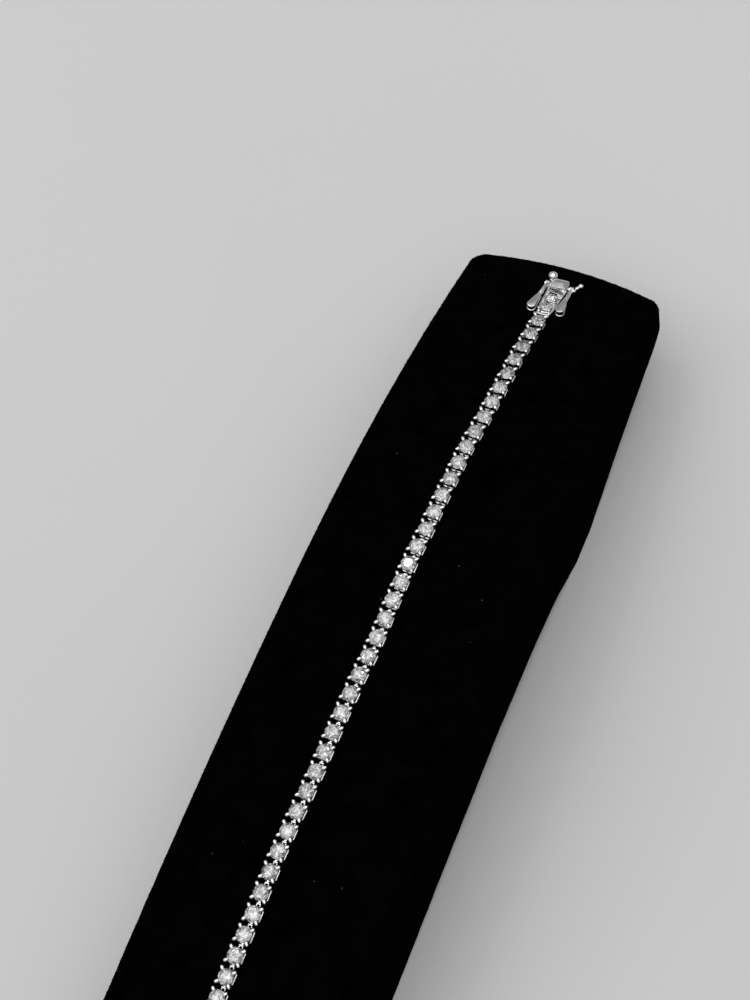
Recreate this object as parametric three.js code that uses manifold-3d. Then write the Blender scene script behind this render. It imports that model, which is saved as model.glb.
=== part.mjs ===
// A tennis bracelet lying open along a velvet display ramp.
// Millimetres, +Z up. +Y runs along the bracelet towards its clasp and X runs across it.
// The origin is on the table under the middle of the ramp.
import * as THREE from 'three';
import { mergeVertices } from 'three/addons/utils/BufferGeometryUtils.js';
import Module from 'manifold-3d';

const wasm = await Module();
wasm.setup();

// Display ramp: a board covered in velvet, arched along its length.
const RAMP = {
  width: 38, length: 197,
  crestY: 21, crestZ: 30.7,         // highest line of its top
  claspRadius: 219.2, endRadius: 622, // arch of the top on either side of the crest
  edge: 1.2, corner: 5,             // rounding of the long edges and of the plain end's corners
  bow: 2.6, noseCorner: 2.4,        // seen from above, the nose end is bowed, with tighter corners
};
// Underside outline from the nose back to the plain end.
const UNDERSIDE = [
  { y: 96.9, z: 13.9 },             // nose
  { y: 91.5, z: 10.6 },
  { y: 72.5, z: 5.8 },
  { y: 55.5, z: 0.0 },              // heel that stands on the table
  { y: 48.5, z: 0.0 },
  { y: 39.5, z: 3.9 },
  { y: 28.5, z: 5.4 },              // top of the shallow arch underneath
  { y: 11.5, z: 5.5 },
  { y: -14.5, z: 3.2 },
  { y: -43.5, z: 0.0 },             // from here the ramp lies flat
];
const NOSE = 1.6;                   // radius of the rounded nose

// Links: square baskets with a prong at each corner, hinged at one pitch.
const LINK = {
  count: 46, pitch: 3.5, firstRun: 62.7, perRow: 6,
  baseWidth: 2.3, topWidth: 2.95, bottom: 0.3, top: 1.75,
  prongSpacing: 2.4, prong: 0.45, prongTop: 2.5,
};
const BAR = { width: 1.0, bottom: 0.5, top: 1.4, gap: 0.3 };  // hinge bar between two links
const STONE = { girdle: 2.6, table: 1.7, tableZ: 2.35, sides: 8 };

// How the chain lies: a little askew on the ramp and in two gentle waves.
const LIE = {
  crestX: -0.46, slope: 0.0055,     // sideways place at the crest, and drift for each millimetre of run
  waves: [{ size: 0.13, length: 70, phase: 2.78 }, { size: 0.09, length: 25, phase: -2.67 }],
};

// Clasp half beside the nose, in its own frame: y towards the nose, z up from the velvet.
const CLASP = {
  runFromLink: 7.0,                 // first link to the clasp's middle
  turn: 0.0066,                     // how far the clasp points to the right, in radians
  halfWidth: 1.65, back: -4.95, front: 2.4, bottom: 0.3, top: 1.5,
  stoneY: [-3.1, -0.6], stoneGirdle: 2.4, seatTop: 1.95,
};
const TONGUE = {
  x: 0.05, turn: 4,                 // it sits a little askew, in degrees
  halfWidth: 1.82, back: 2.1, front: 5.4, leaf: 0.28, bottom: 0.35, top: 1.9, corner: 1.3,
};
const PIN = {
  y: 3.6, z: 1.2, left: 3.05, right: 3.2, radius: 0.28,
  bend: [3.3, 3.85, 1.7], endRadius: 0.34, ball: 0.5, ballAt: [3.95, 4.3, 2.1],
};
const PRESS = {
  x: -0.2, y: 2.3, turn: 7, barLength: 3.4, barDepth: 1.5, bottom: 2.0, top: 3.05,
  knobX: -1.0, knobY: 2.55, neck: 0.45, head: 0.9, headZ: 4.5,
};
const LATCH = {
  inner: 2.0, armWidth: 0.85, height: 1.35, bore: 0.35, knuckle: 0.62,
  armLength: 3.9, headWidth: 1.75, headLength: 7.4, neckWidth: 0.7,
};
// The two latches hang slightly differently: degrees up from level, and how far the head stands out.
const LATCHES = [
  { name: 'safety_latch_left', side: -1, lift: -2, splay: 0.55 },
  { name: 'safety_latch_right', side: 1, lift: 3, splay: 0.3 },
];
const END_BOX = {
  width: 3.6, length: 6.5, bottom: 0.3, top: 2.1, slotWidth: 2.4, slotHeight: 0.9, slotDepth: 5,
  gap: 0.3,                         // from the last link's bar
};

const METAL = { color: 0xd9dadc, roughness: 0.14, metalness: 1.0 };
const GEM = { color: 0xf4f6fa, roughness: 0.03, metalness: 0.0 };
const VELVET = { color: 0x08080a, roughness: 1.0, metalness: 0.0 };

// Turns a closed geometry into a solid that can be joined and cut.
function solid(geometry, matrix = new THREE.Matrix4()) {
  const plain = geometry.clone().applyMatrix4(matrix);
  plain.deleteAttribute('normal');
  plain.deleteAttribute('uv');
  const merged = mergeVertices(plain, 1e-4);
  return new wasm.Manifold(new wasm.Mesh({
    numProp: 3,
    vertProperties: merged.attributes.position.array,
    triVerts: new Uint32Array(merged.index.array),
  }));
}

function join(pieces) {
  return pieces.reduce((whole, piece) => whole.add(piece));
}

function mesh(name, whole, finish) {
  const { vertProperties, triVerts } = whole.getMesh();
  const geometry = new THREE.BufferGeometry();
  geometry.setAttribute('position', new THREE.BufferAttribute(vertProperties, 3));
  geometry.setIndex(new THREE.BufferAttribute(triVerts, 1));
  const flat = geometry.toNonIndexed();
  flat.computeVertexNormals();
  const piece = new THREE.Mesh(flat, new THREE.MeshStandardMaterial(finish));
  piece.name = name;
  return piece;
}

function at(x, y, z) {
  return new THREE.Matrix4().makeTranslation(x, y, z);
}

// Box given by its spans along x, y and z.
function block([x0, x1], [y0, y1], [z0, z1]) {
  const middle = at((x0 + x1) / 2, (y0 + y1) / 2, (z0 + z1) / 2);
  return solid(new THREE.BoxGeometry(x1 - x0, y1 - y0, z1 - z0), middle);
}

// Cylinder or cone frustum standing on z0.
function upright(topRadius, bottomRadius, [z0, z1], sides, x = 0, y = 0, turn = 0) {
  const stand = at(x, y, (z0 + z1) / 2)
    .multiply(new THREE.Matrix4().makeRotationZ(turn))
    .multiply(new THREE.Matrix4().makeRotationX(Math.PI / 2));
  return solid(new THREE.CylinderGeometry(topRadius, bottomRadius, z1 - z0, sides), stand);
}

// Round rod between two points.
function rod(radius, start, end, sides = 8) {
  const path = new THREE.Vector3(...end).sub(new THREE.Vector3(...start));
  const upwards = new THREE.Vector3(0, 1, 0);
  const turn = new THREE.Quaternion().setFromUnitVectors(upwards, path.clone().normalize());
  const middle = path.clone().multiplyScalar(0.5).add(new THREE.Vector3(...start));
  const place = new THREE.Matrix4().compose(middle, turn, new THREE.Vector3(1, 1, 1));
  return solid(new THREE.CylinderGeometry(radius, radius, path.length(), sides), place);
}

function bead(radius, centre) {
  return solid(new THREE.SphereGeometry(radius, 8, 6), at(...centre));
}

// Cylinder along x.
function crossRod(radius, [x0, x1], y, z, sides = 12) {
  const lie = at((x0 + x1) / 2, y, z).multiply(new THREE.Matrix4().makeRotationZ(Math.PI / 2));
  return solid(new THREE.CylinderGeometry(radius, radius, x1 - x0, sides), lie);
}

// Outline in the x-y plane, raised from z0 to z1.
function raised(shape, [z0, z1], curveSegments = 6) {
  const plate = new THREE.ExtrudeGeometry(shape, { depth: z1 - z0, bevelEnabled: false, curveSegments });
  return solid(plate, at(0, 0, z0));
}

// Outline in the y-z plane, spread from x0 to x1: shape x becomes y and shape y becomes z.
function spread(shape, [x0, x1], options = {}) {
  const settings = { depth: x1 - x0, bevelEnabled: false, curveSegments: 6, ...options };
  const slab = new THREE.ExtrudeGeometry(shape, settings);
  const stand = new THREE.Matrix4().makeBasis(
    new THREE.Vector3(0, 1, 0), new THREE.Vector3(0, 0, 1), new THREE.Vector3(1, 0, 0));
  return solid(slab, at(x0, 0, 0).multiply(stand));
}

function roundedRectangle(x0, x1, y0, y1, radius) {
  const shape = new THREE.Shape();
  shape.moveTo(x0 + radius, y0);
  shape.lineTo(x1 - radius, y0);
  shape.absarc(x1 - radius, y0 + radius, radius, -Math.PI / 2, 0);
  shape.absarc(x1 - radius, y1 - radius, radius, 0, Math.PI / 2);
  shape.absarc(x0 + radius, y1 - radius, radius, Math.PI / 2, Math.PI);
  shape.absarc(x0 + radius, y0 + radius, radius, Math.PI, 1.5 * Math.PI);
  return shape;
}

// Frame on the velvet at a run along the bracelet from the crest, positive towards the clasp.
// Runs are measured at the height of the prong tips, and turn points the frame to the right.
function onRamp(run, x, turn) {
  const radius = run > 0 ? RAMP.claspRadius : RAMP.endRadius;
  const angle = run / (radius + LINK.prongTop);
  const y = RAMP.crestY + radius * Math.sin(angle);
  const place = at(x, y, RAMP.crestZ - radius * (1 - Math.cos(angle)));
  return place.multiply(new THREE.Matrix4().makeRotationX(-angle))
    .multiply(new THREE.Matrix4().makeRotationZ(-turn));
}

// Frame of the chain at a run: it drifts sideways and turns with its waves.
function onChain(run) {
  let x = LIE.crestX + LIE.slope * run;
  let turn = LIE.slope;
  LIE.waves.forEach(({ size, length, phase }) => {
    const rate = 2 * Math.PI / length;
    x += size * Math.sin(rate * run + phase);
    turn += size * rate * Math.cos(rate * run + phase);
  });
  return onRamp(run, x, turn);
}

function topArc(shape, radius, fromY, toY, steps) {
  for (let i = 1; i <= steps; i += 1) {
    const y = fromY + (toY - fromY) * i / steps;
    const reach = y - RAMP.crestY;
    shape.lineTo(y, RAMP.crestZ - radius + Math.sqrt(radius * radius - reach * reach));
  }
}

// The ramp seen from above: rounded corners at the plain end and a bowed nose.
function rampPlan() {
  const { corner, bow, noseCorner } = RAMP;
  const half = RAMP.width / 2;
  const [end, tip] = [-RAMP.length / 2, RAMP.length / 2];
  const shoulder = tip - bow;
  const plan = new THREE.Shape();
  plan.moveTo(-half + corner, end);
  plan.lineTo(half - corner, end);
  plan.absarc(half - corner, end + corner, corner, -Math.PI / 2, 0);
  plan.lineTo(half, shoulder - noseCorner);
  plan.quadraticCurveTo(half, shoulder, half - noseCorner, shoulder + 0.3);
  plan.quadraticCurveTo(0, tip + bow - 0.3, -half + noseCorner, shoulder + 0.3);
  plan.quadraticCurveTo(-half, shoulder, -half, shoulder - noseCorner);
  plan.absarc(-half + corner, end + corner, corner, Math.PI, 1.5 * Math.PI);
  return plan;
}

function displayRamp() {
  const endY = -RAMP.length / 2;
  const noseY = RAMP.length / 2 - NOSE;
  const side = new THREE.Shape();
  side.moveTo(endY, 0);
  const reach = endY - RAMP.crestY;
  side.lineTo(endY, RAMP.crestZ - RAMP.endRadius + Math.sqrt(RAMP.endRadius ** 2 - reach ** 2));
  topArc(side, RAMP.endRadius, endY, RAMP.crestY, 10);
  topArc(side, RAMP.claspRadius, RAMP.crestY, noseY, 12);
  side.absarc(noseY, UNDERSIDE[0].z + NOSE, NOSE, 1.22, -1.05, true);
  UNDERSIDE.slice(1).forEach(({ y, z }) => side.lineTo(y, z));
  side.closePath();
  const half = RAMP.width / 2;
  const { edge } = RAMP;
  const board = spread(side, [-half + edge, half - edge], {
    bevelEnabled: true, bevelThickness: edge, bevelSize: edge, bevelOffset: -edge, bevelSegments: 2,
  });
  return mesh('display_ramp', board.intersect(raised(rampPlan(), [-1, RAMP.crestZ + 1])), VELVET);
}

// Four square posts, one at each corner of a stone.
function prongs(centreY, foot) {
  const near = LINK.prongSpacing / 2 - LINK.prong / 2;
  const far = near + LINK.prong;
  const spans = [[-far, -near], [near, far]];
  return spans.flatMap((spanX) => spans.map(([y0, y1]) => block(
    spanX, [centreY + y0, centreY + y1], [foot, LINK.prongTop])));
}

function basket(centreY) {
  const diagonal = Math.SQRT1_2;
  const [topRadius, baseRadius] = [LINK.topWidth * diagonal, LINK.baseWidth * diagonal];
  return upright(topRadius, baseRadius, [LINK.bottom, LINK.top], 4, 0, centreY, Math.PI / 4);
}

function crown(centreY, girdle, table, [z0, z1]) {
  return upright(table / 2, girdle / 2, [z0, z1], STONE.sides, 0, centreY, Math.PI / STONE.sides);
}

function link() {
  return join([
    basket(0),
    crown(0, STONE.girdle, STONE.table, [LINK.top - 0.1, STONE.tableZ]),
    ...prongs(0, LINK.top - 0.1),
  ]);
}

// A row of links on their hinge bars; the bars stop short of the next row.
function linkRow(first, count) {
  const pieces = [];
  const shape = link();
  for (let i = first; i < first + count; i += 1) {
    const place = onChain(LINK.firstRun - i * LINK.pitch);
    pieces.push(shape.transform(place.elements));
    const reach = LINK.pitch / 2;
    const back = i === first + count - 1 ? reach - BAR.gap / 2 : reach + 0.1;
    const front = i === first ? reach - BAR.gap / 2 : reach + 0.1;
    const bar = block([-BAR.width / 2, BAR.width / 2], [-back, front], [BAR.bottom, BAR.top]);
    pieces.push(bar.transform(place.elements));
  }
  return join(pieces);
}

function linkRows() {
  const rows = [];
  for (let first = 0; first < LINK.count; first += LINK.perRow) {
    const count = Math.min(LINK.perRow, LINK.count - first);
    rows.push(mesh(`bracelet_links_${rows.length + 1}`, linkRow(first, count), METAL));
  }
  return rows;
}

// The spring tongue: one strip folded at the nose end, its upper leaf free at the back.
function tongue() {
  const { x, turn, back, front, leaf, bottom, top, halfWidth, corner } = TONGUE;
  const fold = (top - bottom) / 2;
  const middle = (top + bottom) / 2;
  const side = new THREE.Shape();
  side.moveTo(back, bottom);
  side.lineTo(front - fold, bottom);
  side.absarc(front - fold, middle, fold, -Math.PI / 2, Math.PI / 2);
  side.lineTo(back, top);
  side.lineTo(back, top - leaf);
  side.lineTo(front - fold, top - leaf);
  side.absarc(front - fold, middle, fold - leaf, Math.PI / 2, -Math.PI / 2, true);
  side.lineTo(back, bottom + leaf);
  side.closePath();
  const outline = roundedRectangle(-halfWidth, halfWidth, back - corner, front, corner);
  const strip = spread(side, [-halfWidth, halfWidth]).intersect(raised(outline, [bottom - 1, top + 1]));
  const askew = at(x, back, 0).multiply(new THREE.Matrix4().makeRotationZ(THREE.MathUtils.degToRad(turn)));
  return strip.transform(askew.multiply(at(0, -back, 0)).elements);
}

// The hinge pin: its right end is bent up and out, and finished with a ball.
function hingePin() {
  const { y, z, left, right, radius, bend, endRadius, ball, ballAt } = PIN;
  return join([
    crossRod(radius, [-left, right], y, z),
    bead(radius, [right, y, z]),
    rod(radius, [right, y, z], bend),
    bead(endRadius, bend),
    rod(endRadius, bend, ballAt),
    bead(ball, ballAt),
  ]);
}

function claspBody() {
  const { halfWidth, back, front, bottom, top, stoneY, stoneGirdle, seatTop } = CLASP;
  const half = stoneGirdle / 2;
  const body = join([
    block([-halfWidth, halfWidth], [back, front], [bottom, top - 0.12]),
    raised(roundedRectangle(-halfWidth, halfWidth, back, TONGUE.back - 0.25, 0.3), [bottom, top]),
    block([-1.4, 1.4], [TONGUE.back - 0.2, PIN.y + 0.5], [PIN.z - 0.18, PIN.z + 0.18]),
    hingePin(),
    block([-BAR.width / 2, BAR.width / 2], [back - 0.15, back + 0.2], [BAR.bottom, BAR.top]),
    ...stoneY.map((y) => block([-half, half], [y - half, y + half], [top - 0.1, seatTop])),
    ...stoneY.flatMap((y) => prongs(y, top - 0.1)),
  ]);
  const seats = stoneY.map((y) => upright(half + 0.04, 0.68, [1.2, seatTop], 8, 0, y, Math.PI / 8)
    .add(upright(half + 0.04, half + 0.04, [seatTop - 0.05, LINK.prongTop + 1], 8, 0, y, Math.PI / 8)));
  // The tongue's upper leaf is free above the body, so a slit parts the two behind the fold.
  const slitBottom = TONGUE.top - TONGUE.leaf - 0.25;
  const slit = block([-3, 3], [TONGUE.back - 0.25, front + 0.1], [slitBottom, TONGUE.top + 1]);
  return seats.reduce((whole, seat) => whole.subtract(seat), body.subtract(slit)).add(tongue());
}

// Round stone set in the clasp body: crown, girdle and a cut-off pavilion.
function claspStone(centreY) {
  const r = CLASP.stoneGirdle / 2 - 0.02;
  const top = STONE.tableZ;
  return join([
    upright(STONE.table * 0.4, r, [2.02, top], STONE.sides, 0, centreY, Math.PI / 8),
    upright(r, 0.6, [1.35, 2.03], STONE.sides, 0, centreY, Math.PI / 8),
  ]);
}

function thumbPress() {
  const { x, y, turn, barLength, barDepth, bottom, top, knobX, knobY, neck, head, headZ } = PRESS;
  const [halfLength, halfDepth] = [barLength / 2, barDepth / 2];
  const outline = roundedRectangle(-halfLength, halfLength, -halfDepth, halfDepth, halfDepth - 0.05);
  const place = at(x, y, 0).multiply(new THREE.Matrix4().makeRotationZ(THREE.MathUtils.degToRad(turn)));
  const knob = solid(new THREE.SphereGeometry(head, 10, 6), at(knobX, knobY, headZ));
  const post = upright(neck, neck, [top - 0.2, headZ], 10, knobX, knobY);
  return join([raised(outline, [bottom, top]).transform(place.elements), post, knob]);
}

// Latch in its hinge frame: it turns about x and lies back along -y, leaning outwards to a round head.
function safetyLatch(side, lift, splay) {
  const { inner, armWidth, height, bore, knuckle, armLength, headWidth, headLength, neckWidth } = LATCH;
  const hingeX = inner + armWidth / 2;
  const [neckX, headX] = [hingeX + 0.6 * splay, hingeX + splay];
  const headY = -headLength + headWidth / 2;
  const plan = new THREE.Shape();
  plan.moveTo(hingeX - armWidth / 2, 0);
  plan.lineTo(neckX - neckWidth / 2, -armLength);
  plan.lineTo(headX - headWidth / 2, headY);
  plan.absarc(headX, headY, headWidth / 2, Math.PI, 2 * Math.PI);
  plan.lineTo(neckX + neckWidth / 2, -armLength);
  plan.lineTo(hingeX + armWidth / 2, 0);
  const span = [inner, inner + armWidth];
  const latch = join([raised(plan, [-height / 2, height / 2]), crossRod(knuckle, span, 0, 0, 16)])
    .subtract(crossRod(bore, [inner - 1, inner + armWidth + 1], 0, 0, 16));
  const turn = new THREE.Matrix4().makeRotationX(THREE.MathUtils.degToRad(-lift));
  const own = side > 0 ? latch : latch.mirror([1, 0, 0]);
  return own.transform(at(0, PIN.y, PIN.z).multiply(turn).elements);
}

// The other clasp half, at the plain end of the ramp: a small open box.
function endBox() {
  const { width, length, bottom, top, slotWidth, slotHeight, slotDepth } = END_BOX;
  const half = width / 2;
  const body = raised(roundedRectangle(-half, half, -length, 0, 0.5), [bottom, top])
    .add(block([-BAR.width / 2, BAR.width / 2], [-0.2, 0.3], [BAR.bottom, BAR.top]));
  const slotZ = (bottom + top - slotHeight) / 2;
  return body.subtract(block(
    [-slotWidth / 2, slotWidth / 2], [-length - 1, -length + slotDepth], [slotZ, slotZ + slotHeight]));
}

const part = new THREE.Group();
part.add(displayRamp(), ...linkRows());

const clasp = new THREE.Group();
clasp.applyMatrix4(onRamp(LINK.firstRun + CLASP.runFromLink, 0, CLASP.turn));
clasp.add(mesh('clasp_body', claspBody(), METAL));
CLASP.stoneY.forEach((y, i) => clasp.add(mesh(`clasp_stone_${i + 1}`, claspStone(y), GEM)));
clasp.add(mesh('thumb_press', thumbPress(), METAL));
LATCHES.forEach(({ name, side, lift, splay }) => {
  clasp.add(mesh(name, safetyLatch(side, lift, splay), METAL));
});
part.add(clasp);

const end = new THREE.Group();
end.applyMatrix4(onChain(LINK.firstRun - (LINK.count - 0.5) * LINK.pitch - END_BOX.gap));
end.add(mesh('end_clasp_box', endBox(), METAL));
part.add(end);

export default part;
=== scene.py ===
import math
import random

import bmesh
import bpy
from mathutils import Euler, Matrix, Vector, noise


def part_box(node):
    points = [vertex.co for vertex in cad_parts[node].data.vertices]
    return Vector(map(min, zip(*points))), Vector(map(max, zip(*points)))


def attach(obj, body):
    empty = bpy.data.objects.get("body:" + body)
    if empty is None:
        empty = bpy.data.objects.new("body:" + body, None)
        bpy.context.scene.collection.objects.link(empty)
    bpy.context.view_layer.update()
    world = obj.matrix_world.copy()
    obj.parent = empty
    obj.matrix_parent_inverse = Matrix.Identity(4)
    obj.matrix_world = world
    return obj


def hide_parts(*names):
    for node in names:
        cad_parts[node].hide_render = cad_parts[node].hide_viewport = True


# A tennis bracelet that lies open along a velvet display ramp.
# Shapes are modelled in millimetres and kept in metres. +Y runs along the bracelet towards its clasp.
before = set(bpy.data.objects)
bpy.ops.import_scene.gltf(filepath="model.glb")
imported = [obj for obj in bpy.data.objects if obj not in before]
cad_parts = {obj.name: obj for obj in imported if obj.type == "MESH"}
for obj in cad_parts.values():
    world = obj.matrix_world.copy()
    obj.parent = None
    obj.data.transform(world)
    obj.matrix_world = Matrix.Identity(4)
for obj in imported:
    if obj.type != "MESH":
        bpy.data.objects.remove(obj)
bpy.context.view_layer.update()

MM = 0.001
MAIN_BODY = "bracelet_and_ramp"
IDENTITY = Matrix.Identity(4)
WHOLE_TURN = 2 * math.pi
TINY = 1e-4                 # corners closer than this are one corner
dice = random.Random(7)

# ---------------------------------------------------------------- sizes, in millimetres

ramp_low, ramp_high = (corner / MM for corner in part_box("display_ramp"))
CREST_Y = 21.0
CREST_Z = ramp_high.z
CLASP_ARCH = 219.2          # radius of the ramp's top on the clasp's side of its crest
END_ARCH = 622.0            # and on the other side
PILE = 0.15                 # how far the velvet's pile stands up from the board
UNDERSIDE = (               # (y, z) along the ramp's underside, from the nose back
    (96.9, 13.9), (91.5, 10.6), (72.5, 5.8), (55.5, 0.0), (48.5, 0.0),
    (39.5, 3.9), (28.5, 5.4), (11.5, 5.5), (-14.5, 3.2), (-43.5, 0.0),
)

LINK_COUNT = 46
LINKS_IN_ROW = 6
PITCH = 3.5
FIRST_RUN = 62.7            # from the crest to the first link
PRONG_REACH = 1.2           # from a link's middle to its prongs, along and across
PRONG_TOP = 2.5
STONE_WIDTH = 2.75
GIRDLE_Z = 1.95
WAVES = ((0.13, 70.0, 2.78), (0.09, 25.0, -2.67))    # (size, length, phase) of the waves in the chain
DRIFT = 0.0055              # sideways drift of the chain for each millimetre of run
CREST_X = -0.46

CLASP_RUN = FIRST_RUN + 7.0
CLASP_TURN = 0.0066
CLASP_STONES_Y = (-3.1, -0.6)
CLASP_STONE_WIDTH = 2.3
CLASP_BEADS = 1.02          # from a clasp stone's middle to the beads around it
PIN_Y = 3.6                 # the axis that the latches turn on, in the clasp's own place
PIN_Z = 1.2

# ---------------------------------------------------------------- light and view

DOME_HEIGHTS = (0.5, 0.85)  # where the dome begins to brighten, and where it is brightest
DOME = (0.28, 1.44)         # its brightness below and above those heights
CLOUD_SCALE = 3.2           # soft unevenness of the dome, so that the metal has something to show
CLOUD_REACH = (0.35, 0.65)
CLOUDS = (0.72, 1.28)
SPARKS = ((-0.2, 0.19, 0.55), (-0.42, -0.12, 0.4), (0.1, 0.35, 0.5))     # metres
SPARK_TARGET = (0, 0.02, 0)
SPARK_SIZE = (0.06, 0.06)
SPARK_POWER = 0.1
FLOOR_HALF = 1.5            # metres

EYE = (79.031, -46.235, 281.777)
VIEW_RIGHT = (0.89476, 0.4048, -0.18854)
VIEW_FORWARD = (-0.32398, 0.29787, -0.89795)
SENSOR = 36.0
LENS = 57.6


# ---------------------------------------------------------------- places

def on_ramp(run, x, turn):
    """Place on the velvet at a run from the crest: z is up from the pile's base, y towards the clasp."""
    radius = CLASP_ARCH if run > 0 else END_ARCH
    angle = run / (radius + PRONG_TOP)
    spot = Vector((x, CREST_Y + radius * math.sin(angle), CREST_Z - radius * (1 - math.cos(angle))))
    return Matrix.Translation(spot) @ Matrix.Rotation(-angle, 4, "X") @ Matrix.Rotation(-turn, 4, "Z")


def on_chain(run):
    """Place of the chain at a run: it drifts sideways in two gentle waves."""
    x = CREST_X + DRIFT * run
    turn = DRIFT
    for size, length, phase in WAVES:
        rate = WHOLE_TURN / length
        x += size * math.sin(rate * run + phase)
        turn += size * rate * math.cos(rate * run + phase)
    return on_ramp(run, x, turn)


CLASP_PLACE = on_ramp(CLASP_RUN, 0.0, CLASP_TURN)


def at(x, y, z):
    return Matrix.Translation((x, y, z))


def turned(degrees, axis):
    return Matrix.Rotation(math.radians(degrees), 4, axis)


# ---------------------------------------------------------------- shapes

def weld(bm):
    """Joins doubled corners and turns every face outwards."""
    bmesh.ops.remove_doubles(bm, verts=bm.verts, dist=TINY)
    bmesh.ops.recalc_face_normals(bm, faces=bm.faces)
    return bm


def add(whole, part, place=IDENTITY):
    """Puts a finished shape into a larger one."""
    mesh = keep(part, "shape")
    stamp(whole, mesh, place)
    bpy.data.meshes.remove(mesh)


def stamp(whole, mesh, place):
    """Copies a kept shape into a larger one."""
    copy = mesh.copy()
    copy.transform(place)
    whole.from_mesh(copy)
    bpy.data.meshes.remove(copy)


def keep(bm, name):
    """Keeps a shape as a mesh that can be stamped many times."""
    mesh = bpy.data.meshes.new(name)
    bm.to_mesh(mesh)
    bm.free()
    return mesh


def block(size, rounding=0.0, segments=2):
    """A box about the origin with rounded edges."""
    bm = bmesh.new()
    bmesh.ops.create_cube(bm, size=1.0)
    bmesh.ops.scale(bm, vec=size, verts=bm.verts)
    if rounding:
        round_edges(bm, bm.edges[:], rounding, segments)
    return weld(bm)


def is_level(edge):
    return abs(edge.verts[0].co.z - edge.verts[1].co.z) < 1e-6


def sharp_edges(bm):
    return [edge for edge in bm.edges if edge.calc_face_angle(0) > 1.0]


def pull_out(bm, faces, way):
    """Extrudes faces along a straight way."""
    pulled = bmesh.ops.extrude_face_region(bm, geom=faces)["geom"]
    moved = [corner for corner in pulled if isinstance(corner, bmesh.types.BMVert)]
    bmesh.ops.translate(bm, vec=way, verts=moved)
    return moved


def round_edges(bm, edges, size, segments=2):
    bmesh.ops.bevel(bm, geom=edges, offset=size, offset_type="OFFSET", segments=segments, profile=0.5,
                    affect="EDGES", material=-1, clamp_overlap=True)


def turned_shape(profile, steps):
    """A profile of (radius, height) points spun a full turn about z."""
    bm = bmesh.new()
    points = [bm.verts.new((radius, 0.0, height)) for radius, height in profile]
    edges = [bm.edges.new(pair) for pair in zip(points, points[1:])]
    bmesh.ops.spin(bm, geom=points + edges, cent=(0, 0, 0), axis=(0, 0, 1), angle=WHOLE_TURN, steps=steps,
                   use_merge=True)
    return weld(bm)


def rod(start, end, start_radius, end_radius, sides):
    """A round rod between two points."""
    start, end = Vector(start), Vector(end)
    along = end - start
    bm = bmesh.new()
    bmesh.ops.create_cone(bm, cap_ends=True, segments=sides, radius1=start_radius, radius2=end_radius,
                          depth=along.length)
    place = Matrix.Translation((start + end) / 2) @ along.to_track_quat("Z", "Y").to_matrix().to_4x4()
    bmesh.ops.transform(bm, matrix=place, verts=bm.verts)
    return weld(bm)


def ball(radius, columns=12, rings=8):
    bm = bmesh.new()
    bmesh.ops.create_uvsphere(bm, u_segments=columns, v_segments=rings, radius=radius)
    return weld(bm)


def ring(radius, thickness, sides, steps):
    """A round ring about z."""
    bm = bmesh.new()
    bmesh.ops.create_circle(bm, cap_ends=False, segments=sides, radius=thickness,
                            matrix=at(radius, 0, 0) @ turned(90, "X"))
    bmesh.ops.spin(bm, geom=bm.verts[:] + bm.edges[:], cent=(0, 0, 0), axis=(0, 0, 1), angle=WHOLE_TURN,
                   steps=steps, use_merge=True)
    return weld(bm)


def plate(outline, low, high, rounding=0.0, segments=2):
    """A flat outline raised from low to high, with its rims rounded."""
    bm = bmesh.new()
    face = bm.faces.new([bm.verts.new((x, y, low)) for x, y in outline])
    pull_out(bm, [face], (0, 0, high - low))
    weld(bm)
    if rounding:
        round_edges(bm, [edge for edge in bm.edges if is_level(edge)], rounding, segments)
    return weld(bm)


def pierced_plate(outline, holes, low, high, rounding):
    """A flat outline with holes, each an outline too, raised from low to high."""
    bm = bmesh.new()
    for rim in (outline, *holes):
        corners = [bm.verts.new((x, y, low)) for x, y in rim]
        for pair in zip(corners, corners[1:] + corners[:1]):
            bm.edges.new(pair)
    bmesh.ops.triangle_fill(bm, use_beauty=True, edges=bm.edges[:])
    pull_out(bm, bm.faces[:], (0, 0, high - low))
    weld(bm)
    round_edges(bm, [edge for edge in sharp_edges(bm) if is_level(edge)], rounding)
    return weld(bm)


def arc(centre_x, centre_y, radius, start, end, steps):
    """Points of an arc, its angles in degrees."""
    angles = [math.radians(start + (end - start) * step / steps) for step in range(steps + 1)]
    return [(centre_x + radius * math.cos(angle), centre_y + radius * math.sin(angle)) for angle in angles]


def slot_outline(half_length, half_depth, corner, steps=6):
    """A rectangle with round corners."""
    x, y = half_length - corner, half_depth - corner
    return (arc(x, -y, corner, -90, 0, steps) + arc(x, y, corner, 0, 90, steps)
            + arc(-x, y, corner, 90, 180, steps) + arc(-x, -y, corner, 180, 270, steps))


def finish_piece(name, bm, material, body, replaces=(), sharp=35.0):
    """Makes a modelled shape one piece of the object, in its place on a body."""
    bmesh.ops.scale(bm, vec=(MM, MM, MM), verts=bm.verts)
    mesh = bpy.data.meshes.new(name)
    bm.to_mesh(mesh)
    bm.free()
    mesh.materials.append(material)
    smooth = sharp > 0
    mesh.polygons.foreach_set("use_smooth", [smooth] * len(mesh.polygons))
    if smooth:
        mesh.set_sharp_from_angle(angle=math.radians(sharp))
    piece = bpy.data.objects.new(name, mesh)
    bpy.context.scene.collection.objects.link(piece)
    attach(piece, body)
    if replaces:
        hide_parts(*replaces)


# ---------------------------------------------------------------- finishes

def map_range(nodes, reach, result):
    """A node that spreads a value's reach over a result."""
    node = nodes.new("ShaderNodeMapRange")
    for name, value in zip(("From Min", "From Max", "To Min", "To Max"), (*reach, *result)):
        node.inputs[name].default_value = value
    return node


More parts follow.
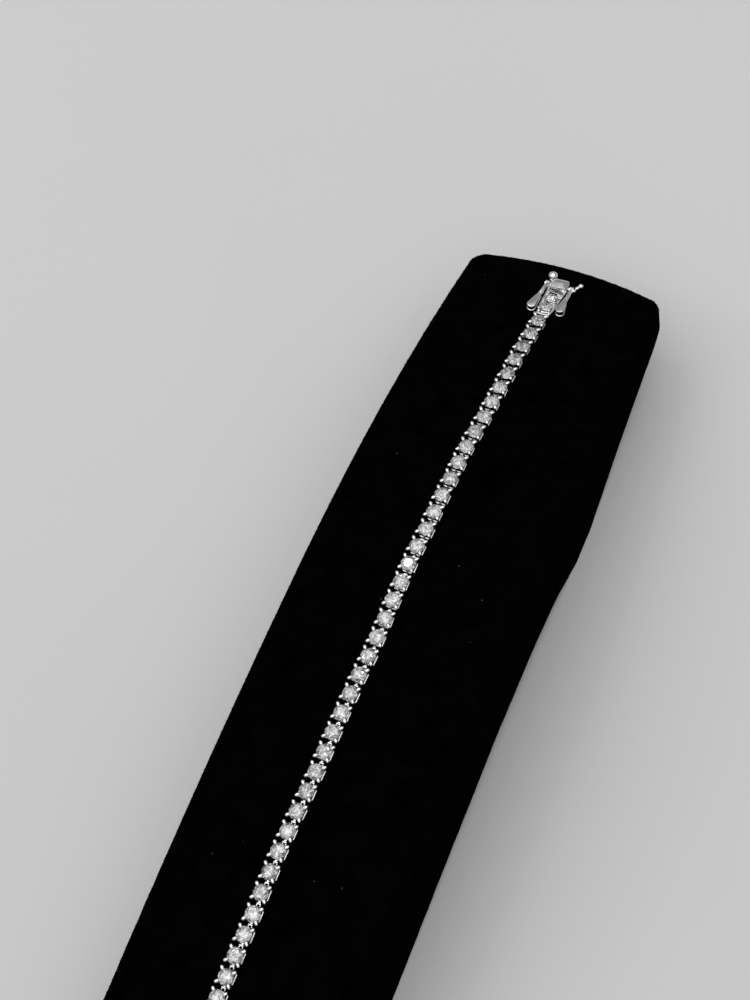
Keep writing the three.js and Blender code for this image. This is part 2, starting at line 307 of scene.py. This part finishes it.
class Finish:
    """A material under way: its nodes, and the shorthand that joins them."""

    def __init__(self, name):
        self.material = bpy.data.materials.new(name)
        self.material.use_nodes = True
        self.nodes = self.material.node_tree.nodes
        self.links = self.material.node_tree.links
        self.shader = self.nodes["Principled BSDF"]
        self.place = self.nodes.new("ShaderNodeTexCoord").outputs["Object"]

    def set(self, **values):
        """Sets constants on the shader's own sockets."""
        for socket, value in values.items():
            self.shader.inputs[socket.replace("_", " ")].default_value = value

    def noise(self, scale, detail=3.0, roughness=0.55):
        node = self.nodes.new("ShaderNodeTexNoise")
        node.inputs["Scale"].default_value = scale
        node.inputs["Detail"].default_value = detail
        node.inputs["Roughness"].default_value = roughness
        self.links.new(self.place, node.inputs["Vector"])
        return node.outputs["Fac"]

    def cells(self, scale):
        node = self.nodes.new("ShaderNodeTexVoronoi")
        node.inputs["Scale"].default_value = scale
        self.links.new(self.place, node.inputs["Vector"])
        return node.outputs["Distance"]

    def patches(self, scale):
        """Small angular patches, each with its own tone."""
        node = self.nodes.new("ShaderNodeTexVoronoi")
        node.inputs["Scale"].default_value = scale
        self.links.new(self.place, node.inputs["Vector"])
        tone = self.nodes.new("ShaderNodeSeparateColor")
        self.links.new(node.outputs["Color"], tone.inputs["Color"])
        return tone.outputs["Red"]

    def spread(self, value, low, high, start=0.3, end=0.7):
        """Spreads a pattern's middle part over a range."""
        node = map_range(self.nodes, (start, end), (low, high))
        self.links.new(value, node.inputs["Value"])
        return node.outputs["Result"]

    def shades(self, value, stops):
        """Colours a pattern by (position, grey, warmth) stops."""
        node = self.nodes.new("ShaderNodeValToRGB")
        ramp = node.color_ramp
        while len(ramp.elements) < len(stops):
            ramp.elements.new(1.0)
        for element, (position, grey, warmth) in zip(ramp.elements, stops):
            element.position = position
            element.color = (grey + warmth, grey, grey - warmth, 1.0)
        self.links.new(value, node.inputs["Fac"])
        return node.outputs["Color"]

    def bump(self, height, strength, depth):
        node = self.nodes.new("ShaderNodeBump")
        node.inputs["Strength"].default_value = strength
        node.inputs["Distance"].default_value = depth
        self.links.new(height, node.inputs["Height"])
        self.join(node.outputs["Normal"], "Normal")

    def join(self, value, socket):
        self.links.new(value, self.shader.inputs[socket])


def polished_metal(name, polish, depth):
    """White metal: fine polishing marks, and a thin film that greys it in patches."""
    finish = Finish(name)
    finish.set(Metallic=1.0)
    finish.join(finish.shades(finish.noise(700.0), ((0.3, 0.74, 0.0), (0.7, 0.9, 0.0))), "Base Color")
    finish.join(finish.spread(finish.noise(2600.0), *polish), "Roughness")
    finish.bump(finish.noise(5200.0, detail=4.0), 0.35, depth)
    return finish.material


def brilliant_stone(name):
    """Clear colourless stone with painted reflections: small angular patches in its colour, from dark grey
    to white, stand in for the light its facets return.
    """
    finish = Finish(name)
    finish.set(IOR=2.4, Transmission_Weight=0.85, Roughness=0.0)
    # painted reflections: each patch's grey, from dark to white, stands in for a facet's sparkle or dark
    # reflection
    painted_flashes = ((0.15, 0.1, 0.0), (0.35, 0.42, 0.0), (0.5, 0.95, 0.0), (0.65, 1.0, 0.0))
    finish.join(finish.shades(finish.patches(2300.0), painted_flashes), "Base Color")
    return finish.material


def black_velvet(name):
    """Short dense pile that swallows light, with brushed patches and a few specks of lint."""
    finish = Finish(name)
    finish.set(IOR=1.02, Sheen_Weight=0.009, Sheen_Roughness=0.35, Specular_IOR_Level=0.01)
    finish.shader.inputs["Sheen Tint"].default_value = (0.2, 0.2, 0.22, 1.0)
    pile = finish.shades(finish.noise(260.0, detail=6.0), ((0.35, 0.0003, 0.0), (0.7, 0.0015, 0.0)))
    lint = finish.shades(finish.cells(240.0), ((0.0, 0.14, 0.0), (0.035, 0.0, 0.0)))
    mix = finish.nodes.new("ShaderNodeMix")
    mix.data_type = "RGBA"
    mix.blend_type = "ADD"
    mix.inputs["Factor"].default_value = 1.0
    finish.links.new(pile, mix.inputs["A"])
    finish.links.new(lint, mix.inputs["B"])
    finish.join(mix.outputs["Result"], "Base Color")
    finish.join(finish.spread(finish.noise(900.0), 0.92, 1.0), "Roughness")
    finish.bump(finish.noise(4200.0, detail=5.0, roughness=0.7), 0.8, 0.0003)
    return finish.material


METAL = polished_metal("polished_white_metal", (0.05, 0.15), 0.000012)
GRIP_METAL = polished_metal("hammered_grip_metal", (0.12, 0.3), 0.00006)
STONE = brilliant_stone("clear_brilliant_stone")
VELVET = black_velvet("black_velvet_pile")


# ---------------------------------------------------------------- velvet ramp

def top_of_ramp(y):
    radius = CLASP_ARCH if y > CREST_Y else END_ARCH
    return CREST_Z - radius + math.sqrt(radius ** 2 - (y - CREST_Y) ** 2)


def underside_of_ramp(y):
    for (front, front_z), (back, back_z) in zip(UNDERSIDE, UNDERSIDE[1:]):
        if y >= back:
            share = min(1.0, (y - back) / (front - back))
            return back_z + (front_z - back_z) * share
    return 0.0


def slice_mesh(bm, axis, places):
    """Cuts a mesh across, so that it can bend and carry the pile's unevenness."""
    direction = Vector((0, 0, 0))
    direction[axis] = 1.0
    for place in places:
        bmesh.ops.bisect_plane(bm, geom=bm.verts[:] + bm.edges[:] + bm.faces[:], dist=TINY,
                               plane_co=direction * place, plane_no=direction)


def steps_between(low, high, step):
    count = int((high - low) / step)
    return [low + (high - low) * index / count for index in range(1, count)]


def ramp_plan(end_corner=5.0, nose_corner=2.4, bow=2.6, step=2.5):
    """The ramp seen from above: round corners at the plain end and a bowed nose."""
    half, end, shoulder = ramp_high.x, ramp_low.y, ramp_high.y - bow
    bm = bmesh.new()
    plan = ((-half, end), (half, end), (half, shoulder), (-half, shoulder))
    corners = [bm.verts.new((x, y, 0)) for x, y in plan]
    bm.faces.new(corners)
    for pair, size in ((corners[:2], end_corner), (corners[2:], nose_corner)):
        bmesh.ops.bevel(bm, geom=pair, offset=size, offset_type="OFFSET", segments=8, profile=0.5,
                        affect="VERTICES", material=-1)
    slice_mesh(bm, 0, steps_between(-half, half, step))
    for corner in bm.verts:
        share = max(0.0, (corner.co.y - shoulder + nose_corner) / nose_corner)
        corner.co.y += bow * share * (1 - (corner.co.x / half) ** 2)
    return bm


def pile_tufts(bm, per_corner=3, length=0.2, sunk=0.12, thickness=0.05, spread=0.5, shift=0.3):
    """Short tufts of pile along the ramp's rounded edges, made a batch at a time because that is quicker."""
    batch_size = 40
    bm.normal_update()
    roots = [(corner.co.copy(), corner.normal.copy()) for corner in bm.verts
             if 0.12 < corner.normal.z < 0.96 and corner.co.z > 1.0]
    for first in range(0, len(roots), batch_size):
        batch = bmesh.new()
        for root, outwards in roots[first:first + batch_size] * per_corner:
            lean = Vector([dice.uniform(-spread, spread) for _ in range(3)])
            aside = Vector([dice.uniform(-shift, shift) for _ in range(3)])
            way = (outwards + lean).to_track_quat("Z", "Y").to_matrix().to_4x4()
            reach = length * dice.uniform(0.5, 1.0)
            foot = root + aside - outwards * (aside.dot(outwards) + sunk)
            place = Matrix.Translation(foot) @ way @ at(0, 0, reach / 2)
            bmesh.ops.create_cone(batch, cap_ends=True, segments=3, radius1=thickness,
                                  radius2=0.3 * thickness, depth=reach, matrix=place)
        add(bm, batch)


def stands(face):
    return abs(face.normal.z) < 0.2


def velvet_ramp(rounding=1.3, step=1.1, pile_waves=0.05, wave_rate=1.7):
    """The board under its pile: the plan raised to the arch, sliced fine and lifted unevenly."""
    bm = ramp_plan()
    slice_mesh(bm, 1, steps_between(ramp_low.y, ramp_high.y, step))
    tops = set(pull_out(bm, bm.faces[:], (0, 0, 0)))
    for corner in bm.verts:
        corner.co.z = top_of_ramp(corner.co.y) if corner in tops else underside_of_ramp(corner.co.y)
    weld(bm)
    rims = [edge for edge in bm.edges
            if len(edge.link_faces) == 2 and stands(edge.link_faces[0]) != stands(edge.link_faces[1])]
    round_edges(bm, rims, rounding, 4)
    slice_mesh(bm, 0, steps_between(rounding - ramp_high.x, ramp_high.x - rounding, step))
    slice_mesh(bm, 2, steps_between(0.0, CREST_Z, 2 * step))
    weld(bm)
    bm.normal_update()
    lifts = [(corner, corner.normal * (PILE + pile_waves * noise.noise(corner.co * wave_rate)))
             for corner in bm.verts]
    for corner, lift in lifts:
        grounded = corner.co.z < 0.05
        corner.co += Vector((lift.x, lift.y, 0.0)) if grounded else lift
        corner.co.z = max(0.0, corner.co.z)
    pile_tufts(bm)
    finish_piece("velvet_ramp", bm, VELVET, MAIN_BODY, ["display_ramp"], sharp=70.0)


# ---------------------------------------------------------------- stones

def facet(bm, azimuth, slope, reach, height):
    """One straight cut, by its slope from level and a point on it. A negative slope faces down."""
    lean = math.radians(abs(slope))
    outwards = Vector((math.cos(azimuth), math.sin(azimuth), 0.0))
    facing = outwards * math.sin(lean) + Vector((0, 0, math.copysign(math.cos(lean), slope)))
    cut = bmesh.ops.bisect_plane(bm, geom=bm.verts[:] + bm.edges[:] + bm.faces[:], dist=0.1 * TINY,
                                 clear_outer=True, plane_no=facing,
                                 plane_co=outwards * reach + Vector((0, 0, height)))
    rim = [part for part in cut["geom_cut"] if isinstance(part, bmesh.types.BMEdge)]
    if rim:
        bmesh.ops.edgeloop_fill(bm, edges=rim)


def round_brilliant(width, crown_slope=34.5, pavilion_slope=40.8, star_slope=21.0,
                    upper_slope=41.0, lower_slope=42.2):
    """A round brilliant about its girdle's middle: 33 facets above it and 24 below."""
    radius = width / 2
    girdle = 0.015 * width
    table = 0.56 * radius
    crown = (radius - table) * math.tan(math.radians(crown_slope)) + girdle
    eighth = WHOLE_TURN / 8
    chord = math.cos(eighth / 4)
    bm = bmesh.new()
    bmesh.ops.create_cone(bm, cap_ends=True, segments=16, radius1=radius, radius2=radius, depth=2 * radius)
    for k in range(16):
        azimuth = (k + 0.5) * eighth / 2
        facet(bm, azimuth, upper_slope, radius * chord, girdle)
        facet(bm, azimuth, -lower_slope, radius * chord, -girdle)
    for k in range(8):
        facet(bm, k * eighth, crown_slope, radius, girdle)
        facet(bm, k * eighth, -pavilion_slope, radius, -girdle)
        facet(bm, (k + 0.5) * eighth, star_slope, table * math.cos(eighth / 2), crown)
    facet(bm, 0.0, TINY, 0.0, crown)
    return weld(bm)


# ---------------------------------------------------------------- links

def prong(height=PRONG_TOP, foot=0.34, thickness=0.22, bead=0.33, lean=0.24, closing=0.1):
    """A round prong leaning out from the basket's foot; its long bead closes over the stone's rim."""
    bead_z = height - 0.8 * bead
    profile = ((0, foot), (thickness, foot), (0.9 * thickness, bead_z), (0, bead_z + 0.1))
    bm = turned_shape(profile, 9)
    for corner in bm.verts:
        share = (corner.co.z - bead_z) / height
        corner.co.x += lean * share
        corner.co.y += lean * share
    claw = ball(bead)
    bmesh.ops.scale(claw, vec=(1.5, 1.0, 0.8), verts=claw.verts)
    add(bm, claw, at(-closing, -closing, bead_z) @ turned(45, "Z"))
    return bm


def square_rail(half, thickness, height, corner=0.35):
    """A round wire bent into a square with round corners."""
    steps = 16
    bm = ring(corner, thickness, 8, steps)
    bmesh.ops.transform(bm, matrix=Matrix.Rotation(math.pi / steps, 4, "Z"), verts=bm.verts)
    straight = half - corner
    for point in bm.verts:
        point.co.x += math.copysign(straight, point.co.x)
        point.co.y += math.copysign(straight, point.co.y)
        point.co.z += height
    return bm


def corners_of(reach):
    """The four corners of a square, each as a quarter turn of the first."""
    return [turned(90 * quarter, "Z") @ at(reach, reach, 0) for quarter in range(4)]


def link_basket(rail=1.07, wire=0.08, rail_heights=(0.4, 0.66), seat=0.98, seat_wire=0.1, seat_z=1.5):
    """One setting: two rails, a seat, four prongs and the knuckle that hinges on the next link."""
    cheek, cheek_place = (0.16, 0.6, 0.34), (0.3, 1.4, 0.65)
    knuckle, knuckle_z = (0.8, 0.32, 0.4), 0.8
    tail, tail_y, tail_z = (0.4, 0.9, 0.3), 0.42, 0.7
    bm = bmesh.new()
    for place in corners_of(PRONG_REACH):
        add(bm, prong(), place)
    for height in rail_heights:
        add(bm, square_rail(rail, wire, height))
    add(bm, ring(seat, seat_wire, 6, 20), at(0, 0, seat_z))
    for side in (-1, 1):
        add(bm, block(cheek, 0.04), at(side * cheek_place[0], *cheek_place[1:]))
    add(bm, block(knuckle, 0.08, 3), at(0, PITCH / 2, knuckle_z))
    add(bm, block(tail, 0.05), at(0, tail_y - PITCH / 2, tail_z))
    return bm


def hand_set(limits=(1.6, 2.6, 1.2), shift=0.05, middle=1.0):
    """The slight unevenness of one link: a little sideways, rolled, tipped and turned."""
    lean = Euler([math.radians(dice.uniform(-limit, limit)) for limit in limits])
    aside = dice.uniform(-shift, shift)
    return at(aside, 0, 0) @ at(0, 0, middle) @ lean.to_matrix().to_4x4() @ at(0, 0, -middle)


def bracelet_rows():
    basket = keep(link_basket(), "link_basket")
    stone = keep(round_brilliant(STONE_WIDTH), "link_stone")
    for row, first in enumerate(range(0, LINK_COUNT, LINKS_IN_ROW), start=1):
        metal, gems = bmesh.new(), bmesh.new()
        for index in range(first, min(first + LINKS_IN_ROW, LINK_COUNT)):
            place = on_chain(FIRST_RUN - index * PITCH) @ hand_set()
            stamp(metal, basket, place)
            stamp(gems, stone, place @ at(0, 0, GIRDLE_Z) @ turned(dice.uniform(0, 45), "Z"))
        finish_piece(f"link_settings_{row}", metal, METAL, MAIN_BODY,
                     [f"bracelet_links_{row}"])
        finish_piece(f"link_stones_{row}", gems, STONE, MAIN_BODY, sharp=0)


# ---------------------------------------------------------------- clasp

def clasp_case(back=-4.95, front=2.4, bottom=0.3, top=1.55, rounding=0.06):
    """The case that carries two stones, widening from the chain to the tongue."""
    right_side = ((1.0, back), (1.28, back + 0.3), (1.62, -2.1), (1.8, front))
    outline = [*right_side, *((-x, y) for x, y in reversed(right_side))]
    seats = [arc(0, y, CLASP_STONE_WIDTH / 2 - 0.06, 0, 360 - 12, 29) for y in CLASP_STONES_Y]
    groove_x, groove_y = -0.15, 1.08
    groove = [(x + groove_x, y + groove_y) for x, y in slot_outline(1.15, 0.28, 0.27, 4)]
    bm = pierced_plate(outline, [*seats, groove], bottom, top, rounding)
    for y in CLASP_STONES_Y:
        add(bm, ring(CLASP_STONE_WIDTH / 2, 0.09, 6, 28), at(0, y, top + 0.05))
    bead_profile = ((0, 1.3), (0.24, 1.3), (0.22, 1.95), (0.32, 2.15), (0.26, 2.36), (0, 2.46))
    rear, ahead = CLASP_STONES_Y
    for y in (rear - CLASP_BEADS, (rear + ahead) / 2, ahead + CLASP_BEADS):
        for side in (-1, 1):
            add(bm, turned_shape(bead_profile, 10), at(CLASP_BEADS * side, y, 0))
    chain_lug, lug_z = (0.46, 0.8, 0.5), 1.0
    tongue_root, root_y = (2.8, 1.7, 0.36), 3.15
    add(bm, block(chain_lug, 0.06), at(0, back, lug_z))
    add(bm, block(tongue_root, 0.05), at(0, root_y, PIN_Z))
    bmesh.ops.transform(bm, matrix=CLASP_PLACE, verts=bm.verts)
    finish_piece("clasp_case", bm, METAL, MAIN_BODY, ["clasp_body"])


def clasp_stones(girdle_z=1.98, turn=11):
    for number, y in enumerate(CLASP_STONES_Y, start=1):
        bm = round_brilliant(CLASP_STONE_WIDTH)
        place = CLASP_PLACE @ at(0, y, girdle_z) @ turned(turn * number, "Z")
        bmesh.ops.transform(bm, matrix=place, verts=bm.verts)
        finish_piece(f"clasp_brilliant_{number}", bm, STONE, MAIN_BODY,
                     [f"clasp_stone_{number}"], sharp=0)


def spring_tongue(half=1.82, back=2.1, front=5.4, bottom=0.35, top=1.9, leaf=0.28, corner=1.55,
                  x=0.05, turn=4):
    """A strip folded at the nose end, with its corners rounded off; the upper leaf is the smooth plate."""
    fold = (top - bottom) / 2
    middle = (top + bottom) / 2
    bend = front - fold
    outer = [(back, bottom), *arc(bend, middle, fold, -90, 90, 12), (back, top)]
    inner = [(back, top - leaf), *arc(bend, middle, fold - leaf, 90, -90, 12), (back, bottom + leaf)]
    bm = bmesh.new()
    face = bm.faces.new([bm.verts.new((-half, y, z)) for y, z in outer + inner])
    pull_out(bm, [face], (2 * half, 0, 0))
    weld(bm)
    slice_mesh(bm, 1, steps_between(front - corner, front, 0.12) + [front - corner])
    slice_mesh(bm, 0, steps_between(-half, half, 0.3))
    for point in bm.verts:
        over = max(0.0, point.co.y - (front - corner))
        point.co.x *= (half - corner + math.sqrt(max(0.0, corner ** 2 - over ** 2))) / half
    askew = at(x, back, 0) @ turned(turn, "Z") @ at(0, -back, 0)
    bmesh.ops.transform(bm, matrix=askew, verts=bm.verts)
    return weld(bm)


def hinge_pin(left=-3.05, right=3.2, radius=0.28, bend=(3.3, 3.85, 1.7), end_radius=0.34,
              bead=0.5, bead_at=(3.95, 4.3, 2.1)):
    """The pin the latches turn on; its right end is bent up and out and ends in a ball."""
    bm = rod((left, PIN_Y, PIN_Z), (right, PIN_Y, PIN_Z), radius, radius, 16)
    round_edges(bm, sharp_edges(bm), 0.08)
    corner = (right, PIN_Y, PIN_Z)
    add(bm, ball(radius, 16, 10), at(*corner))
    add(bm, rod(corner, bend, radius, end_radius, 16))
    add(bm, ball(end_radius, 16, 10), at(*bend))
    add(bm, rod(bend, bead_at, end_radius, 0.94 * end_radius, 16))
    add(bm, ball(bead, 20, 14), at(*bead_at))
    return bm


def clasp_fittings():
    for name, bm in (("spring_tongue", spring_tongue()), ("hinge_pin", hinge_pin())):
        bmesh.ops.transform(bm, matrix=CLASP_PLACE, verts=bm.verts)
        finish_piece(name, bm, METAL, MAIN_BODY)


def grip_bar(length=3.4, depth=1.5, bottom=2.0, top=2.86, scallops=22, scallop=0.05,
             grain_size=0.17, grain_step=0.3, row_step=0.42):
    """The ribbed bar that the thumb presses: a scalloped rim and rows of small raised grains."""
    half = length / 2
    smooth_rim = slot_outline(half - 0.06, depth / 2 - 0.06, depth / 2 - 0.11, steps=10)
    outline = []
    for index, (x, y) in enumerate(smooth_rim):
        swell = scallop * math.cos(WHOLE_TURN * scallops * index / len(smooth_rim))
        outline.append((x * (1 + 0.4 * swell), y * (1 + swell)))
    bm = plate(outline, bottom, top, 0.16, 3)
    for row in (-row_step, 0.0, row_step):
        for column in range(-5, 6):
            x = grain_step * column + (grain_step / 2 if row else 0.0)
            if abs(x) < half - grain_step - abs(row) * 0.5:
                grain = ball(grain_size + dice.uniform(-0.02, 0.02), 8, 5)
                add(bm, grain, at(x + dice.uniform(-0.03, 0.03), row, top))
    return bm


def thumb_knob(bottom=2.7, head=0.88, head_z=4.48, squash=0.92):
    """A short neck under a slightly flattened ball."""
    neck = [(0, bottom), (0.6, bottom), (0.5, bottom + 0.25), (0.42, head_z - 0.85)]
    dome = [(x, head_z + squash * z) for x, z in arc(0, 0, head, -58, 86, 14)]
    return turned_shape([*neck, *dome, (0, head_z + squash * head)], 28)


def thumb_press(x=-0.2, y=2.3, turn=7, knob_at=(-1.0, 2.55, 0)):
    bar = grip_bar()
    bmesh.ops.transform(bar, matrix=CLASP_PLACE @ at(x, y, 0) @ turned(turn, "Z"), verts=bar.verts)
    finish_piece("thumb_grip_bar", bar, GRIP_METAL, MAIN_BODY, ["thumb_press"])
    knob = thumb_knob()
    bmesh.ops.transform(knob, matrix=CLASP_PLACE @ at(*knob_at), verts=knob.verts)
    finish_piece("thumb_knob", knob, METAL, MAIN_BODY, sharp=60.0)


# ---------------------------------------------------------------- safety latches

def paddle_outline(root_x, neck_x, head_x, neck_y, head_y, neck_half, head_radius, shrink=0.0):
    """Flat outline of a latch's paddle, from its neck to its round head."""
    root_y = neck_y + 0.5
    return [(root_x - neck_half + shrink, root_y), (neck_x - neck_half + shrink, neck_y),
            *arc(head_x, head_y, head_radius - shrink, 180, 360, 18),
            (neck_x + neck_half - shrink, neck_y), (root_x + neck_half - shrink, root_y)]


def latch_pieces(splay, inner=2.0, width=0.85, height=1.3, arm=3.9, length=7.4, head_radius=0.86,
                 knuckle=0.62, neck_half=0.36, leaf=0.34, groove=0.14):
    """A latch about its hinge, along x, lying back along -y: a knuckle and sleeve, then a rimmed paddle."""
    root_x = inner + width / 2
    neck_x, head_x = root_x + 0.5 * splay, root_x + splay
    sleeve = rod((root_x, 0.1, 0), (neck_x, -arm, 0), width / 2 + 0.03, width / 2 + 0.06, 20)
    round_edges(sleeve, sharp_edges(sleeve), 0.08)
    bmesh.ops.scale(sleeve, vec=(1, 1, height / width * 0.86), verts=sleeve.verts)
    add(sleeve, rod((inner, 0, 0), (inner + width, 0, 0), knuckle, knuckle, 20))
    outline = (root_x, neck_x, head_x, 0.1 - arm, head_radius - length, neck_half, head_radius)
    half = height / 2
    paddle = plate(paddle_outline(*outline), half - leaf, half, 0.1, 3)
    add(paddle, plate(paddle_outline(*outline, shrink=groove), 0.26 - half, half - 0.3))
    add(paddle, plate(paddle_outline(*outline), -half, 0.28 - half, 0.1, 3))
    return sleeve, paddle


def safety_latch(name, node, body, side, lift, splay):
    place = CLASP_PLACE @ at(0, PIN_Y, PIN_Z) @ turned(-lift, "X") @ Matrix.Diagonal((side, 1, 1, 1))
    for part, bm in zip(("sleeve", "paddle"), latch_pieces(splay)):
        bmesh.ops.transform(bm, matrix=place, verts=bm.verts)
        bmesh.ops.recalc_face_normals(bm, faces=bm.faces)
        finish_piece(f"{name}_{part}", bm, METAL, body, [node] if part == "paddle" else [])


# ---------------------------------------------------------------- clasp's other half

def end_case(width=3.6, length=6.5, bottom=0.3, top=2.1, slot_height=0.9, lip=0.3, depth=5.0,
             corner=0.5, gap=0.3):
    """A plain open box for the tongue, at the far end of the chain."""
    chain_lug, lug_y, lug_z = (0.46, 1.2, 0.4), 0.1, 1.0
    bm = bmesh.new()
    bmesh.ops.create_cube(bm, size=1.0)
    bmesh.ops.scale(bm, vec=(width, length, top - bottom), verts=bm.verts)
    uprights = [edge for edge in bm.edges if abs(edge.verts[0].co.z - edge.verts[1].co.z) > 0.1]
    round_edges(bm, uprights, corner, 5)
    mouth = min(bm.faces, key=lambda face: face.calc_center_median().y)
    bmesh.ops.inset_region(bm, faces=[mouth], thickness=lip)
    bmesh.ops.scale(bm, vec=(1, 1, slot_height / (top - bottom - 2 * lip)), verts=mouth.verts)
    deeper = bmesh.ops.extrude_discrete_faces(bm, faces=[mouth])["faces"][0]
    bmesh.ops.translate(bm, vec=(0, depth, 0), verts=deeper.verts)
    weld(bm)
    bmesh.ops.translate(bm, vec=(0, -length / 2, (top + bottom) / 2), verts=bm.verts)
    add(bm, block(chain_lug, 0.06), at(0, lug_y, lug_z))
    place = on_chain(FIRST_RUN - (LINK_COUNT - 0.5) * PITCH - gap)
    bmesh.ops.transform(bm, matrix=place, verts=bm.verts)
    finish_piece("end_case", bm, METAL, MAIN_BODY, ["end_clasp_box"])


# ---------------------------------------------------------------- studio

def studio_floor():
    finish = Finish("pale_table")
    finish.join(finish.shades(finish.noise(6.0), ((0.3, 0.6, 0.0), (0.7, 0.62, 0.0))), "Base Color")
    finish.set(Roughness=0.9, Specular_IOR_Level=0.1)
    bm = bmesh.new()
    bmesh.ops.create_grid(bm, x_segments=1, y_segments=1, size=FLOOR_HALF)
    mesh = keep(bm, "floor")
    mesh.materials.append(finish.material)
    floor = bpy.data.objects.new("floor", mesh)
    bpy.context.scene.collection.objects.link(floor)


def soft_light(name, spot, target, size, power):
    lamp = bpy.data.lights.new(name, "AREA")
    lamp.shape = "RECTANGLE"
    lamp.size, lamp.size_y = size
    lamp.energy = power
    light = bpy.data.objects.new(name, lamp)
    light.location = spot
    light.rotation_euler = (Vector(target) - Vector(spot)).to_track_quat("-Z", "Y").to_euler()
    bpy.context.scene.collection.objects.link(light)


def studio():
    """A wide dome, bright overhead and dim round the sides, and three small lamps for sparkle."""
    world = bpy.data.worlds.new("studio")
    world.use_nodes = True
    nodes, links = world.node_tree.nodes, world.node_tree.links
    way = nodes.new("ShaderNodeTexCoord").outputs["Generated"]
    height = nodes.new("ShaderNodeSeparateXYZ")
    links.new(way, height.inputs["Vector"])
    dome = map_range(nodes, DOME_HEIGHTS, DOME)
    links.new(height.outputs["Z"], dome.inputs["Value"])
    clouds = nodes.new("ShaderNodeTexNoise")
    clouds.inputs["Scale"].default_value = CLOUD_SCALE
    links.new(way, clouds.inputs["Vector"])
    unevenness = map_range(nodes, CLOUD_REACH, CLOUDS)
    links.new(clouds.outputs["Fac"], unevenness.inputs["Value"])
    product = nodes.new("ShaderNodeMath")
    product.operation = "MULTIPLY"
    links.new(dome.outputs["Result"], product.inputs[0])
    links.new(unevenness.outputs["Result"], product.inputs[1])
    surround = nodes["Background"]
    surround.inputs["Color"].default_value = (1.0, 1.0, 1.0, 1.0)
    links.new(product.outputs["Value"], surround.inputs["Strength"])
    bpy.context.scene.world = world
    for number, spot in enumerate(SPARKS, start=1):
        soft_light(f"spark_{number}", spot, SPARK_TARGET, SPARK_SIZE, SPARK_POWER)
    bpy.context.scene.view_settings.view_transform = "Standard"


def camera():
    """Looks down on the ramp from the right, nearer its plain end."""
    right, forward = Vector(VIEW_RIGHT), Vector(VIEW_FORWARD)
    up = right.cross(forward)
    lens = bpy.data.cameras.new("camera")
    lens.sensor_width = SENSOR
    lens.lens = LENS
    lens.clip_start = 0.01
    eye = bpy.data.objects.new("camera", lens)
    axes = Matrix((right, up, -forward)).transposed().to_4x4()
    eye.matrix_world = Matrix.Translation(Vector(EYE) * MM) @ axes
    bpy.context.scene.collection.objects.link(eye)
    bpy.context.scene.camera = eye


velvet_ramp()
bracelet_rows()
clasp_case()
clasp_stones()
clasp_fittings()
thumb_press()
safety_latch("left_latch", "safety_latch_left", "latch_left", side=-1, lift=-2, splay=0.55)
safety_latch("right_latch", "safety_latch_right", "latch_right", side=1, lift=3, splay=0.3)
end_case()
studio_floor()
studio()
camera()
